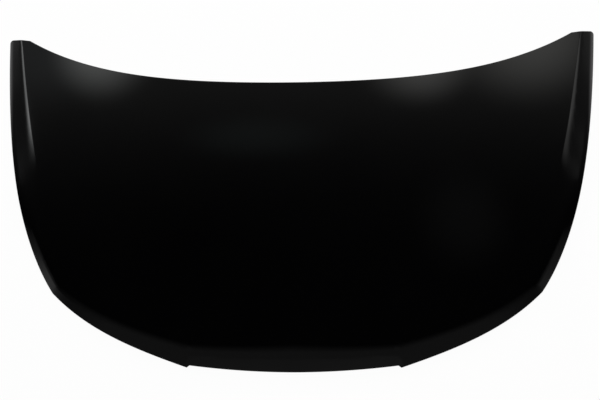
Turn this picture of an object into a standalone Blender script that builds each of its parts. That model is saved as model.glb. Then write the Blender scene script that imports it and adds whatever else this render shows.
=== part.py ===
"""Pressed-steel car bonnet, laid skin up on its rim.

Metres, +Z up, +Y towards the windscreen, +X to the right seen from the front of the car.
Plan places are written as (x, back), where back is the distance behind the middle of the
nose edge. The part's origin is under the middle of its bounding box, on the ground.
"""
import bisect
import math

import bmesh
import bpy
import numpy as np
from mathutils import Vector, geometry

# Outline in plan
HALF_WIDTH = 0.710            # centre line to the outer edge of an ear tip
LENGTH = 0.8204               # nose edge to the ear tips
REAR_SWEEP = 0.0907           # gentle share of the rear edge's sweep back, at full half width
REAR_HOOK = 0.1093            # share of that sweep that gathers towards the ears
EAR_TIP = 0.0596              # width of the blunt end of an ear
EAR_LEAN = 0.01602            # how far that end runs back from its inner to its outer corner
EAR_ROUND = 0.007             # radius on the outer corner of an ear
CORNER_INSET = 0.1661         # across from an ear's outer edge to the corner by the headlamp
CORNER_BACK = 0.1773          # nose edge to that corner, where wing line and headlamp line meet
SIDE_LEAN_CORNER = math.radians(35.6)   # wing line against straight back, at the corner
SIDE_PULL_CORNER = 0.1803
SIDE_LEAN_EAR = math.radians(5.8)       # and at the ear
SIDE_PULL_EAR = 0.2204
GRILLE_HALF = 0.2326          # half width of the grille edge
GRILLE_SWEEP = 0.0155         # how far the grille edge runs back at its ends
TAB_STEP = 0.0049             # step from the grille edge out to the headlamp edge
TAB_RUN = 0.006               # length over which it steps out
LAMP_LEAN_TAB = math.radians(18.7)      # headlamp line against straight across, at the step
LAMP_PULL_TAB = 0.1221
LAMP_LEAN_CORNER = math.radians(44.6)   # and at the corner
LAMP_PULL_CORNER = 0.1205

# Form of the skin
REAR_HEIGHT = 0.0961          # body surface over the corner level, middle of the rear edge
REAR_SLOPE = 0.0065           # rise per metre run towards the windscreen there
FORE_AFT_RADIUS = 3.33
CROWN_FALL = 0.0532           # even part of the fall from the middle to full half width
SHOULDER_FALL = 0.0243        # part of that fall that gathers towards the sides
FLANK_AT_EAR = 0.0355         # width of the flank between the crease and the edge
FLANK_MIDWAY = 0.054
FLANK_AT_CORNER = 0.0464
FLANK_DROP = 0.0100           # how far the flank falls away below the body surface
FLANK_STARTS_BEHIND = 0.0927  # distance behind the corner at which the flank begins to fall
FLANK_FULL_AHEAD = 0.1004     # and ahead of the ear tips at which it has its full fall
CREASE_SOFT = 0.12            # share of the flank that the crease's rounding takes at the ear
NOSE_ROLL = 0.066             # width of the rolled nose on the centre line
NOSE_DROP = 0.0212
CORNER_ROLL = 0.032           # width of the roll at the corner
CORNER_DROP = 0.0138
ROLL_SOFT = 0.5               # share of the roll that its bend takes
SIDE_ROLL = 0.260             # distance behind the corner at which its roll has died out

# Sheet and hem
SKIN = 0.0007
INNER = 0.0007
GAP = 0.0003                  # clearance between pieces that touch on the real bonnet
BOND_LINE = 0.00045           # adhesive each side of the inner panel's edge inside the hem
HEM_WIDTH = 0.012             # length of the hem's folded-back leg
HEM_AT_EAR = 0.004            # its length where it is cut away round an ear corner
HEM_RELIEF = 0.040            # over which it grows back to full length

# Inner panel
INNER_INSET = 0.0022          # outline to the inner panel's cut edge
LAND_BEYOND_HEM = 0.0015      # flat land that shows beyond the hem's leg
EDGE_WALL = 0.012             # run of the wall from the land down to the web
NOSE_WALL = 0.028             # run of that wall at the nose
NOSE_WALL_GROWS = 0.150       # distance in from the corners over which it widens
WEB_DEPTH = 0.018             # web below the land
WEB_AT_EDGE = 0.010           # the same beside the wing and headlamp lines
WEB_DEEPENS = 0.045           # distance over which the web gets its full depth
MASTIC_GAP = 0.0035           # window flange below the back of the skin
WINDOW_FLANGE = 0.014
WINDOW_WALL = 0.010
WINDOW_RADIUS = 0.024
SIDE_BEAM = 0.095             # outline to the cut edge of a window
FRONT_BEAM = 0.105
REAR_BEAM = 0.088
CENTRE_RIB = 0.084            # window edge to window edge
DIAGONAL_RIB = 0.086
CROSS_RIB = 0.078
LATCH_TO_WINDOW = 0.009       # web left between the latch seat's wall and the centre windows' walls
BEAM_HOLE = 0.009             # radius of the drain and tooling holes
REAR_HOLE_INNER = 0.150       # centre line to the rear beam's holes
REAR_HOLE_MIDDLE = 0.300
REAR_HOLE_BY_HINGE = 0.085    # across from the hinge seat's middle to the outermost
FRONT_HOLE_INBOARD = 0.0176   # across from the step in the nose edge to the front beam's holes
FRONT_HOLE_OUTBOARD = 0.0974
SIDE_HOLE_REAR = 0.148        # ahead of the hinge seat's middle, in the side beam
SIDE_HOLE_FRONT = 0.263

# Flat seats pressed into the web
SEAT_WALL = 0.008
SEAT_RADIUS = 0.008           # in plan, on a seat's corners
HINGE_INSET = 0.125           # across from an ear's outer edge to the seat's middle
HINGE_AHEAD = 0.1724          # ahead of the ear tips
HINGE_SEAT_WIDTH = 0.056
HINGE_SEAT_LENGTH = 0.094
HINGE_SEAT_DEPTH = 0.025      # seat below the skin at the seat's middle
HINGE_BOLT_PITCH = 0.052
HINGE_PLATE_THICKNESS = 0.0025
LATCH_BACK = 0.094
LATCH_SEAT_WIDTH = 0.150
LATCH_SEAT_LENGTH = 0.046
LATCH_SEAT_DEPTH = 0.024
LATCH_BOLT_PITCH = 0.060
LATCH_PLATE_THICKNESS = 0.0020
PROP_INSET = 0.0700           # outline to the seat's middle, on the cross rib's own line
PROP_SEAT_WIDTH = 0.026
PROP_SEAT_LENGTH = 0.046
PROP_SEAT_DEPTH = 0.020
PROP_HOLE_WIDTH = 0.011
PROP_HOLE_LENGTH = 0.018
PROP_PLATE_THICKNESS = 0.0015
PLATE_MARGIN = 0.003          # seat's edge to the edge of the plate that lies in it
PLATE_LIP = 0.004             # height of the turned-up lip round a reinforcing plate
BOLT_HOLE = 0.0045            # radius, for an 8 mm bolt

# Weld nuts
NUT_BORE = 0.0034             # radius of the core of an 8 mm thread
NUT_FLATS = 0.013
NUT_HEIGHT = 0.0065
NUT_FLANGE = 0.0085           # radius of the flange
NUT_FLANGE_THICKNESS = 0.0015
NUT_CHAMFER = 0.0008

# Mastic pads
MASTIC_LENGTH = 0.026
MASTIC_WIDTH = 0.011
MASTIC_CLEARANCE = 0.0005     # to the back of the skin

# Fineness of the meshes
RIM_STEP = 0.045
SKIN_STEP = 0.055
SKIN_ROWS = (0.022, 0.030, 0.040, 0.052, 0.066)
ROW_CLEAR = 0.005
FOLD_STEPS = 3
ROUND_STEPS = 5
EDGE_STEP = 0.070
WEB_STEP = 0.075
HOLE_STEPS = 10
NUT_STEPS = 12
SLOPE_STEP = 0.0005           # half the run over which a slope of the skin is measured
OUTWARD_STEP = 0.002          # the same for the direction of the outline
BEAM_STEP = 0.010             # and for the lean of a beam

# Places that follow from the sizes above
EAR_INNER = HALF_WIDTH - EAR_TIP
EAR_SHARE = (EAR_INNER / HALF_WIDTH) ** 2
REAR_CENTRE = LENGTH - EAR_LEAN - REAR_SWEEP * EAR_SHARE - REAR_HOOK * EAR_SHARE ** 2
CORNER_X = HALF_WIDTH - CORNER_INSET
FLANK_STARTS = CORNER_BACK + FLANK_STARTS_BEHIND
FLANK_FULL = LENGTH - FLANK_FULL_AHEAD
HINGE_X = HALF_WIDTH - HINGE_INSET
HINGE_BACK = LENGTH - HINGE_AHEAD
HEM_RADIUS = (2 * SKIN + INNER + 2 * BOND_LINE) / 2
LAND_WIDTH = HEM_RADIUS + HEM_WIDTH + LAND_BEYOND_HEM
LAND_MIDDLE = (INNER_INSET + LAND_WIDTH) / 2
WINDOW_FOOT = WINDOW_FLANGE + WINDOW_WALL
MIDDLE = LENGTH / 2


def smooth(t):
    t = min(max(t, 0.0), 1.0)
    return t * t * (3 - 2 * t)


def ramp(t, soft):
    """0 to 1 with a rounded start that takes the share soft, then a straight run."""
    t = min(max(t, 0.0), 1.0)
    rise = t * t / (2 * soft) if t < soft else t - soft / 2
    return rise / (1 - soft / 2)


def bezier(start, start_pull, end_pull, end, t):
    u = 1 - t
    return u * u * u * start + 3 * u * u * t * start_pull + 3 * u * t * t * end_pull + t * t * t * end


# Plan outline, right half

CORNER = Vector((CORNER_X, CORNER_BACK))
EAR = Vector((HALF_WIDTH, LENGTH))
TAB = Vector((GRILLE_HALF, GRILLE_SWEEP - TAB_STEP))


def heading(lean, length):
    """Step of a given length that leans out from straight back."""
    return Vector((math.sin(lean), math.cos(lean))) * length


def crossing(lean, length):
    """Step of a given length that leans back from straight across."""
    return Vector((math.cos(lean), math.sin(lean))) * length


def grille_line(t):
    """Nose middle to the step, before the grille edge is cut back."""
    return Vector((GRILLE_HALF * t, GRILLE_SWEEP * t * t - TAB_STEP))


def lamp_line(t):
    """Headlamp line, from the step to the corner."""
    return bezier(TAB, TAB + crossing(LAMP_LEAN_TAB, LAMP_PULL_TAB),
                  CORNER - crossing(LAMP_LEAN_CORNER, LAMP_PULL_CORNER), CORNER, t)


def side_line(t):
    """Wing line, from the corner to the ear."""
    return bezier(CORNER, CORNER + heading(SIDE_LEAN_CORNER, SIDE_PULL_CORNER),
                  EAR - heading(SIDE_LEAN_EAR, SIDE_PULL_EAR), EAR, t)


def rear_back(x):
    s = (min(x, EAR_INNER) / HALF_WIDTH) ** 2
    back = REAR_CENTRE + REAR_SWEEP * s + REAR_HOOK * s * s
    if x > EAR_INNER:
        back += (LENGTH - back) * (x - EAR_INNER) / EAR_TIP
    return back


def rear_line(t):
    """Ear's inner corner to the middle of the rear edge."""
    x = EAR_INNER * (1 - t)
    return Vector((x, rear_back(x)))


def traced(line, count):
    return [line(k / count) for k in range(count + 1)]


class Path:
    """Plan line that is measured along its length."""

    def __init__(self, points):
        self.points = points
        self.marks = [0.0]
        for a, b in zip(points, points[1:]):
            self.marks.append(self.marks[-1] + (b - a).length)
        self.length = self.marks[-1]

    def at(self, along):
        k = min(max(bisect.bisect_right(self.marks, along) - 1, 0), len(self.points) - 2)
        share = (along - self.marks[k]) / (self.marks[k + 1] - self.marks[k])
        return self.points[k].lerp(self.points[k + 1], share)

    def outward(self, along):
        step = self.at(along + OUTWARD_STEP) - self.at(along - OUTWARD_STEP)
        return Vector((step.y, -step.x)).normalized()


GRILLE_TRACE = traced(grille_line, 16)
LAMP_TRACE = traced(lamp_line, 40)
SIDE_TRACE = traced(side_line, 60)
WING = Path(GRILLE_TRACE + LAMP_TRACE[1:] + SIDE_TRACE[1:])     # nose middle to the ear
TAIL = Path([EAR] + traced(rear_line, 60))                      # ear to the rear's middle
TAB_ALONG = WING.marks[len(GRILLE_TRACE) - 1]
CORNER_ALONG = WING.marks[len(GRILLE_TRACE) + len(LAMP_TRACE) - 2]
EAR_INNER_ALONG = TAIL.marks[1]
EAR_TURN = math.acos(WING.outward(WING.length - EAR_ROUND).dot(TAIL.outward(EAR_ROUND)))
EAR_MITRE = math.tan(EAR_TURN / 2)      # how far an ear corner moves back along each edge per inset
SIDE_BACKS = np.array([p.y for p in SIDE_TRACE])
SIDE_XS = np.array([p.x for p in SIDE_TRACE])
FRONT_XS = np.array([p.x for p in WING.points[:len(GRILLE_TRACE) + len(LAMP_TRACE) - 1]])
FRONT_BACKS = np.array([p.y for p in WING.points[:len(GRILLE_TRACE) + len(LAMP_TRACE) - 1]])
EDGE_STARTS = np.array([p.to_tuple() for p in WING.points[:-1]])
EDGE_STEPS = np.array([p.to_tuple() for p in WING.points[1:]]) - EDGE_STARTS
EDGE_SQUARES = (EDGE_STEPS ** 2).sum(axis=1)


def side_x(back):
    return float(np.interp(back, SIDE_BACKS, SIDE_XS))


def front_back(x):
    return float(np.interp(x, FRONT_XS, FRONT_BACKS))


def nearest_edge(x, back):
    """Distance to the front and side line, and the x and back of its nearest point."""
    place = np.array((x, back))
    share = ((place - EDGE_STARTS) * EDGE_STEPS).sum(axis=1) / EDGE_SQUARES
    feet = EDGE_STARTS + EDGE_STEPS * np.clip(share, 0.0, 1.0)[:, None]
    gaps = np.hypot(*(feet - place).T)
    best = int(gaps.argmin())
    return float(gaps[best]), float(feet[best][0]), float(feet[best][1])


# Height of the skin's outer face over the plan

def flank_width(back):
    run = (back - CORNER_BACK) / (LENGTH - CORNER_BACK)
    ends = FLANK_AT_CORNER * (1 - run) + FLANK_AT_EAR * run
    sag = FLANK_MIDWAY - (FLANK_AT_CORNER + FLANK_AT_EAR) / 2
    return ends + 4 * sag * run * (1 - run)


def crease_x(back):
    return side_x(back) - flank_width(back)


def flank_growth(back):
    return smooth((back - FLANK_STARTS) / (FLANK_FULL - FLANK_STARTS))


def crease_rounding(back):
    """Share of the flank that the crease's rounding takes."""
    return 1 + (CREASE_SOFT - 1) * flank_growth(back)


def body_height(x, back):
    s = (x / HALF_WIDTH) ** 2
    d = back - REAR_CENTRE
    fore_aft = REAR_HEIGHT + REAR_SLOPE * d - d * d / (2 * FORE_AFT_RADIUS)
    return fore_aft - CROWN_FALL * s - SHOULDER_FALL * s * s


def flank_fall(x, back):
    growth = flank_growth(back)
    if growth == 0.0:
        return 0.0
    share = (x - crease_x(back)) / flank_width(back)
    return FLANK_DROP * growth * ramp(share, crease_rounding(back))


def roll_fall(x, back):
    away, foot_x, foot_back = nearest_edge(x, back)
    outboard = min(foot_x / CORNER_X, 1.0)
    width = NOSE_ROLL + (CORNER_ROLL - NOSE_ROLL) * outboard
    drop = NOSE_DROP + (CORNER_DROP - NOSE_DROP) * outboard
    drop *= 1 - smooth((foot_back - CORNER_BACK) / SIDE_ROLL)
    return drop * ramp(1 - away / width, ROLL_SOFT)


def height(x, back):
    x = abs(x)
    return body_height(x, back) - flank_fall(x, back) - roll_fall(x, back)


def face_normal(x, back):
    slope_x = (height(x + SLOPE_STEP, back) - height(x - SLOPE_STEP, back)) / (2 * SLOPE_STEP)
    slope_y = (height(x, back + SLOPE_STEP) - height(x, back - SLOPE_STEP)) / (2 * SLOPE_STEP)
    return Vector((-slope_x, -slope_y, 1.0)).normalized()


def on_face(place):
    return Vector((place.x, place.y - MIDDLE, height(place.x, place.y)))


def beneath(place, depth):
    """Point square below the skin's outer face."""
    return on_face(place) - face_normal(place.x, place.y) * depth


def under_skin(x, back, depth):
    """Point straight below a plan place, a given depth square to the outer face."""
    normal = face_normal(x, back)
    return Vector((x, back - MIDDLE, height(x, back) - depth / normal.z))


# Stations round the rim, shared by the skin, its hem and the inner panel's land

def spread(start, end, spacing):
    count = max(1, round((end - start) / spacing))
    return [start + (end - start) * k / count for k in range(count)]


def half_stations():
    wing = spread(0.0, TAB_ALONG - TAB_RUN, RIM_STEP) + [TAB_ALONG - TAB_RUN]
    wing += spread(TAB_ALONG, CORNER_ALONG, RIM_STEP)
    wing += spread(CORNER_ALONG, WING.length - 1.5 * EAR_ROUND, RIM_STEP)
    wing += [WING.length - 1.5 * EAR_ROUND]
    tail = [1.5 * EAR_ROUND, FLANK_AT_EAR]
    tail += spread(EAR_INNER_ALONG, TAIL.length, RIM_STEP) + [TAIL.length]
    arc = [("round", k / 2) for k in range(3)]
    return [("wing", a) for a in wing] + arc + [("tail", a) for a in tail]


def ring_of_stations():
    """Stations anticlockwise from the nose's middle, with 1 on the right and -1 on the left."""
    right = [(kind, along, 1) for kind, along in half_stations()]
    left = [(kind, along, -1) for kind, along, _ in reversed(right[1:-1])]
    return right + left


def rim_place(station, inset):
    """Plan place of a station when the rim is drawn in by inset, and its outward direction."""
    kind, along, side = station
    if kind == "wing":
        if along < TAB_ALONG - TAB_RUN / 2:
            inset += TAB_STEP * max(0.0, 1 - inset / NOSE_ROLL)
        free = WING.length / 2
        along -= inset * EAR_MITRE * max(0.0, (along - free) / (WING.length - free))
        out = WING.outward(along)
        place = WING.at(along) - out * inset
    elif kind == "tail":
        along += inset * EAR_MITRE * max(0.0, 1 - along / EAR_INNER_ALONG)
        out = TAIL.outward(along)
        place = TAIL.at(along) - out * inset
    else:
        place, out = round_ear(along, inset)
    return Vector((side * place.x, place.y)), Vector((side * out.x, out.y))


def round_ear(share, inset):
    """Place on the small arc round an ear's outer corner."""
    first = WING.outward(WING.length - EAR_ROUND)
    second = TAIL.outward(EAR_ROUND)
    turn = EAR_TURN
    radius = max(EAR_ROUND - inset, 0.0008)
    mitre = (first + second).normalized()
    centre = EAR - mitre * (inset + radius) / math.cos(turn / 2)
    angle = turn * share
    out = Vector((first.x * math.cos(angle) - first.y * math.sin(angle),
                  first.x * math.sin(angle) + first.y * math.cos(angle)))
    return centre + out * radius, out


RIM = ring_of_stations()


def rim_ring(inset, depth):
    """Ring round the part, drawn in by inset and sunk below the outer face."""
    return [beneath(rim_place(station, inset)[0], depth) for station in RIM]


def hem_reach(place):
    """Length of the hem's leg, which is cut away round an ear's outer corner."""
    away = (Vector((abs(place.x), place.y)) - EAR).length
    return HEM_AT_EAR + (HEM_WIDTH - HEM_AT_EAR) * smooth((away - EAR_ROUND) / HEM_RELIEF)


def fold_profile(station):
    """Points of the hem at one station: half a turn down, then the leg back in."""
    place, out = rim_place(station, HEM_RADIUS)
    up = face_normal(place.x, place.y)
    rim = on_face(place)
    outward = Vector((out.x, out.y, 0.0))
    outward = (outward - up * outward.dot(up)).normalized()
    points = []
    for k in range(1, FOLD_STEPS + 1):
        turn = math.pi * k / FOLD_STEPS
        points.append(rim + outward * HEM_RADIUS * math.sin(turn) - up * HEM_RADIUS * (1 - math.cos(turn)))
    for share in (0.5, 1.0):
        leg, _ = rim_place(station, HEM_RADIUS + hem_reach(place) * share)
        points.append(beneath(leg, 2 * HEM_RADIUS))
    return points


FOLDS = [fold_profile(station) for station in RIM]
FOLD_POINTS = [point for profile in FOLDS for point in profile]
GROUND = min(point.z for point in FOLD_POINTS)
AFT = (min(point.y for point in FOLD_POINTS) + max(point.y for point in FOLD_POINTS)) / 2


def settle(mesh_object):
    """Puts the rim's lowest point on the ground and the middle of its length over the origin."""
    for vertex in mesh_object.data.vertices:
        vertex.co.y -= AFT
        vertex.co.z -= GROUND


# Materials

def material(name, colour, roughness, metallic):
    finish = bpy.data.materials.new(name)
    finish.use_nodes = True
    shader = finish.node_tree.nodes["Principled BSDF"]
    shader.inputs["Base Color"].default_value = (*colour, 1.0)
    shader.inputs["Roughness"].default_value = roughness
    shader.inputs["Metallic"].default_value = metallic
    return finish


def add_object(name, bm, finish, thickness=0.0):
    """Makes an object; a thickness turns an open sheet into a closed one, inwards."""
    mesh = bpy.data.meshes.new(name)
    bm.normal_update()
    bm.to_mesh(mesh)
    bm.free()
    piece = bpy.data.objects.new(name, mesh)
    bpy.context.scene.collection.objects.link(piece)
    mesh.materials.append(finish)
    settle(piece)
    if thickness:
        solid = piece.modifiers.new("Sheet thickness", "SOLIDIFY")
        solid.thickness = thickness
        solid.offset = -1.0
        solid.use_even_offset = True
        solid.use_quality_normals = True
    mesh.shade_smooth()
    mesh.set_sharp_from_angle(angle=math.radians(28))
    return piece


# Sheets made from rings and lines of points

def inside_ring(place, ring):
    """Even-odd test of a plan place against a ring."""
    hit = False
    for k in range(len(ring)):
        a, b = ring[k - 1], ring[k]
        if (a[1] > place[1]) != (b[1] > place[1]):
            if place[0] < (b[0] - a[0]) * (place[1] - a[1]) / (b[1] - a[1]) + a[0]:
                hit = not hit
    return hit


def sheet_from_rings(outline, rings, cuts, lines=(), loose=()):
    """Open sheet through 3-D points: outline bounds it, cuts are holes in it.

    Returns the mesh and the outline's vertices in order.
    """
    loops = [outline] + rings + cuts
    points = [p for loop in loops for p in loop]
    edges = []
    start = 0
    for loop in loops:
        edges += [(start + k, start + (k + 1) % len(loop)) for k in range(len(loop))]
        start += len(loop)
    for line in lines:
        edges += [(start + k, start + k + 1) for k in range(len(line) - 1)]
        points += line
        start += len(line)
    points += loose
    flat = [Vector((p.x, p.y)) for p in points]
    places, _, faces, origins, _, _ = geometry.delaunay_2d_cdt(flat, edges, [], 0, 1e-6)
    bm = bmesh.new()
    used = {}

    def vertex(index):
        source = min(origins[index])
        if source not in used:
            used[source] = bm.verts.new(points[source])
        return used[source]

    for face in faces:
        corners = [places[i] for i in face]
        middle = [sum(c[axis] for c in corners) / len(corners) for axis in (0, 1)]
        if not inside_ring(middle, outline):
            continue
        if any(inside_ring(middle, cut) for cut in cuts):
            continue
        bm.faces.new([vertex(i) for i in face])
    bmesh.ops.recalc_face_normals(bm, faces=bm.faces)
    bm.normal_update()
    if sum(face.normal.z * face.calc_area() for face in bm.faces) < 0:
        bmesh.ops.reverse_faces(bm, faces=bm.faces)
    return bm, [used[k] for k in range(len(outline))]


# Outer panel: the skin and its hem in one folded sheet

def crease_line(side, share):
    """Line along the flank, a share of the crease's rounding outboard of the crease."""
    backs = [rim_place(station, 0.0)[0].y for station in RIM if station[0] == "wing"]
    backs = sorted({round(back, 4) for back in backs if FLANK_STARTS < back < LENGTH - FLANK_AT_EAR})
    line = []
    for back in backs:
        x = crease_x(back) + share * crease_rounding(back) * flank_width(back)
        line.append(on_face(Vector((side * x, back))))
    return [p for p in line if not near_rim(p)]


def skin_points(lines):
    """Loose points of the skin: rows along the rolled edges and a lattice behind them."""
    marks = [(p.x, p.y) for line in lines for p in line]
    points = []

    def add(place, clear):
        here = (place.x, place.y - MIDDLE)
        if all(math.dist(here, mark) > clear for mark in marks):
            marks.append(here)
            points.append(on_face(place))

    for inset in SKIN_ROWS:
        for station in RIM:
            kind, along, _ = station
            if kind == "wing" and along < CORNER_ALONG + SIDE_ROLL / 2:
                add(rim_place(station, inset)[0], ROW_CLEAR)
    columns = round(HALF_WIDTH / SKIN_STEP)
    for i in range(-columns, columns + 1):
        for j in range(round(LENGTH / SKIN_STEP) + 1):
            place = Vector((i * SKIN_STEP, j * SKIN_STEP))
            inside = (front_back(abs(place.x)) < place.y < rear_back(abs(place.x))
                      and (place.y < CORNER_BACK or abs(place.x) < side_x(place.y)))
            if inside and not near_rim(on_face(place)):
                add(place, SKIN_STEP * 0.45)
    return points


def build_outer_panel(finish):
    outline = rim_ring(HEM_RADIUS, 0.0)
    rings = [rim_ring(LAND_MIDDLE, 0.0), rim_ring(LAND_WIDTH, 0.0)]
    lines = []
    for side in (-1, 1):
        tip = RIM.index(("tail", FLANK_AT_EAR, side))
        lines.append(crease_line(side, 0.0) + [rings[1][tip], rings[0][tip], outline[tip]])
        lines.append(crease_line(side, 0.5))
        lines.append(crease_line(side, 1.0))
    bm, ring = sheet_from_rings(outline, rings, [], lines, skin_points([outline] + rings + lines))
    for step in range(len(FOLDS[0])):
        following = [bm.verts.new(profile[step]) for profile in FOLDS]
        for k in range(len(ring)):
            m = (k + 1) % len(ring)
            bm.faces.new((ring[m], ring[k], following[k], following[m]))
        ring = following
    return add_object("outer_panel", bm, finish, SKIN)


def near_rim(point):
    """Whether a point would crowd the rows of points along the hem."""
    x, back = abs(point.x), point.y + MIDDLE
    away, _, _ = nearest_edge(x, back)
    return min(away, rear_beam_edge(x, 0.0) - back) < LAND_WIDTH + ROW_CLEAR


# Inner panel: one pressing, made from rings that each lie at their own depth

def side_beam_edge(back, beam):
    """x of a line that keeps a beam's width inside the wing line."""
    lean = (side_x(back + BEAM_STEP) - side_x(back - BEAM_STEP)) / (2 * BEAM_STEP)
    return side_x(back) - beam * math.hypot(lean, 1.0)


def front_beam_edge(x, beam):
    x = max(abs(x), BEAM_STEP)
    lean = (front_back(x + BEAM_STEP) - front_back(x - BEAM_STEP)) / (2 * BEAM_STEP)
    return front_back(x) + beam * math.hypot(lean, 1.0)


def rear_beam_edge(x, beam):
    lean = (rear_back(x + BEAM_STEP) - rear_back(x - BEAM_STEP)) / (2 * BEAM_STEP)
    return rear_back(x) - beam * math.hypot(lean, 1.0)


def meet(start, direction, inside):
    """Last point of a line from start for which inside holds."""
    low, high = 0.0, LENGTH
    for _ in range(40):
        middle = (low + high) / 2
        if inside(start + direction * middle):
            low = middle
        else:
            high = middle
    return start + direction * low


def window_corners():
    """Corners of the three windows of the right half, anticlockwise, and the prop seat's place."""
    half_centre = CENTRE_RIB / 2
    latch_edge = LATCH_BACK + LATCH_SEAT_LENGTH / 2 + SEAT_WALL
    tip = Vector((half_centre + WINDOW_RADIUS,
                  latch_edge + LATCH_TO_WINDOW + WINDOW_FOOT + WINDOW_RADIUS))
    aim = Vector((HINGE_X, HINGE_BACK)) - tip
    lean = math.atan2(aim.y, aim.x) + math.asin((WINDOW_RADIUS + DIAGONAL_RIB / 2) / aim.length)
    along = Vector((math.cos(lean), math.sin(lean)))
    outward = Vector((along.y, -along.x))
    inner_line = tip + outward * WINDOW_RADIUS
    inner_tip = inner_line + along * (half_centre - inner_line.x) / along.x
    rear_meet = meet(inner_tip, along, lambda p: p.y < rear_beam_edge(p.x, REAR_BEAM))
    rear_middle = Vector((rear_meet.x / 2, rear_beam_edge(rear_meet.x / 2, REAR_BEAM)))
    centre = [inner_tip, rear_meet, rear_middle,
              Vector((half_centre, rear_beam_edge(half_centre, REAR_BEAM)))]

    outer_line = inner_line + outward * DIAGONAL_RIB
    front_meet = meet(outer_line + along * LENGTH / 3, -along,
                      lambda p: p.y > front_beam_edge(p.x, FRONT_BEAM))
    side_meet = meet(outer_line, along, lambda p: p.x < side_beam_edge(p.y, SIDE_BEAM))
    middle = front_meet.lerp(side_meet, 0.5)
    low_root = middle - along * CROSS_RIB / 2
    high_root = middle + along * CROSS_RIB / 2
    inside_side = (lambda p: p.x < side_beam_edge(p.y, SIDE_BEAM)
                   and p.y > front_beam_edge(p.x, FRONT_BEAM))
    low_end = meet(low_root, outward, inside_side)
    high_end = meet(high_root, outward, inside_side)
    lower = [front_meet, low_end, low_root]
    upper = [high_root, high_end, side_meet]
    prop = meet(middle, outward, lambda p: p.x < side_beam_edge(p.y, PROP_INSET)
                and p.y > front_beam_edge(p.x, PROP_INSET))
    return {"centre": centre, "lower": lower, "upper": upper}, prop


def grown(corners, grow):
    """Polygon with each side moved out by grow."""
    result = []
    count = len(corners)
    for k in range(count):
        before, here, after = corners[k - 1], corners[k], corners[(k + 1) % count]
        first = (here - before).normalized()
        second = (after - here).normalized()
        normal_1 = Vector((first.y, -first.x))
        normal_2 = Vector((second.y, -second.x))
        blend = normal_1 + normal_2
        result.append(here + blend * grow / (blend.dot(normal_1)))
    return result


def rounded_ring(corners, radius, grow):
    """Plan ring round a polygon grown by grow, with rounded corners and even stations."""
    count = len(corners)
    sharp = grown(corners, grow)
    arcs = []
    for k in range(count):
        before, here, after = sharp[k - 1], sharp[k], sharp[(k + 1) % count]
        first = (here - before).normalized()
        second = (after - here).normalized()
        turn = math.acos(max(-1.0, min(1.0, first.dot(second))))
        reach = (radius + grow) * math.tan(turn / 2)
        steps = max(1, round(ROUND_STEPS * turn / (math.pi / 2)))
        start, end = here - first * reach, here + second * reach
        centre = start + Vector((-first.y, first.x)) * (radius + grow)
        arc = []
        for s in range(steps + 1):
            angle = turn * s / steps
            spoke = start - centre
            arc.append(centre + Vector((spoke.x * math.cos(angle) - spoke.y * math.sin(angle),
                                        spoke.x * math.sin(angle) + spoke.y * math.cos(angle))))
        arc[-1] = end
        arcs.append(arc)
    ring = []
    for k in range(count):
        base = (corners[(k + 1) % count] - corners[k]).length
        ring += arcs[k]
        pieces = max(1, round(base / EDGE_STEP))
        start, end = arcs[k][-1], arcs[(k + 1) % count][0]
        ring += [start.lerp(end, s / pieces) for s in range(1, pieces)]
    return ring


def mirrored(ring):
    """The same ring on the left half, still anticlockwise."""
    return [Vector((-p.x, p.y)) for p in reversed(ring)]


def circle(x, back, radius, steps=HOLE_STEPS):
    return [Vector((x + radius * math.cos(2 * math.pi * k / steps),
                    back + radius * math.sin(2 * math.pi * k / steps))) for k in range(steps)]


def box_corners(x, back, width, length):
    return [Vector((x + sx * width / 2, back + sy * length / 2))
            for sx, sy in ((-1, -1), (1, -1), (1, 1), (-1, 1))]


LAND = SKIN + BOND_LINE                         # top of the inner panel's land below the face
FLANGE = SKIN + MASTIC_GAP
WINDOWS, PROP_SEAT = window_corners()


def lifted(ring, depth):
    """Plan ring brought to a depth below the skin's outer face."""
    return [under_skin(p.x, p.y, depth) for p in ring]


def on_web(ring):
    """Plan ring brought to the web, which is shallower beside the edges."""
    points = []
    for p in ring:
        away, _, _ = nearest_edge(abs(p.x), p.y)
        share = smooth((away - LAND_WIDTH - EDGE_WALL) / WEB_DEEPENS)
        points.append(under_skin(p.x, p.y, LAND + WEB_AT_EDGE + (WEB_DEPTH - WEB_AT_EDGE) * share))
    return points


def level(ring, z):
    return [Vector((p.x, p.y - MIDDLE, z)) for p in ring]


def seat_height(x, back, depth):
    return under_skin(x, back, depth).z


SEATS = {
    "hinge_left": (-HINGE_X, HINGE_BACK, HINGE_SEAT_WIDTH, HINGE_SEAT_LENGTH, HINGE_SEAT_DEPTH),
    "hinge_right": (HINGE_X, HINGE_BACK, HINGE_SEAT_WIDTH, HINGE_SEAT_LENGTH, HINGE_SEAT_DEPTH),
    "latch": (0.0, LATCH_BACK, LATCH_SEAT_WIDTH, LATCH_SEAT_LENGTH, LATCH_SEAT_DEPTH),
    "prop": (PROP_SEAT.x, PROP_SEAT.y, PROP_SEAT_WIDTH, PROP_SEAT_LENGTH, PROP_SEAT_DEPTH),
}


def bolt_places():
    """Bolt holes by seat: plan places."""
    places = {}
    for side, sign in (("left", -1), ("right", 1)):
        places["hinge_" + side] = [Vector((sign * HINGE_X, HINGE_BACK + s * HINGE_BOLT_PITCH / 2))
                                   for s in (-1, 1)]
    places["latch"] = [Vector((s * LATCH_BOLT_PITCH / 2, LATCH_BACK)) for s in (-1, 1)]
    return places


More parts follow.
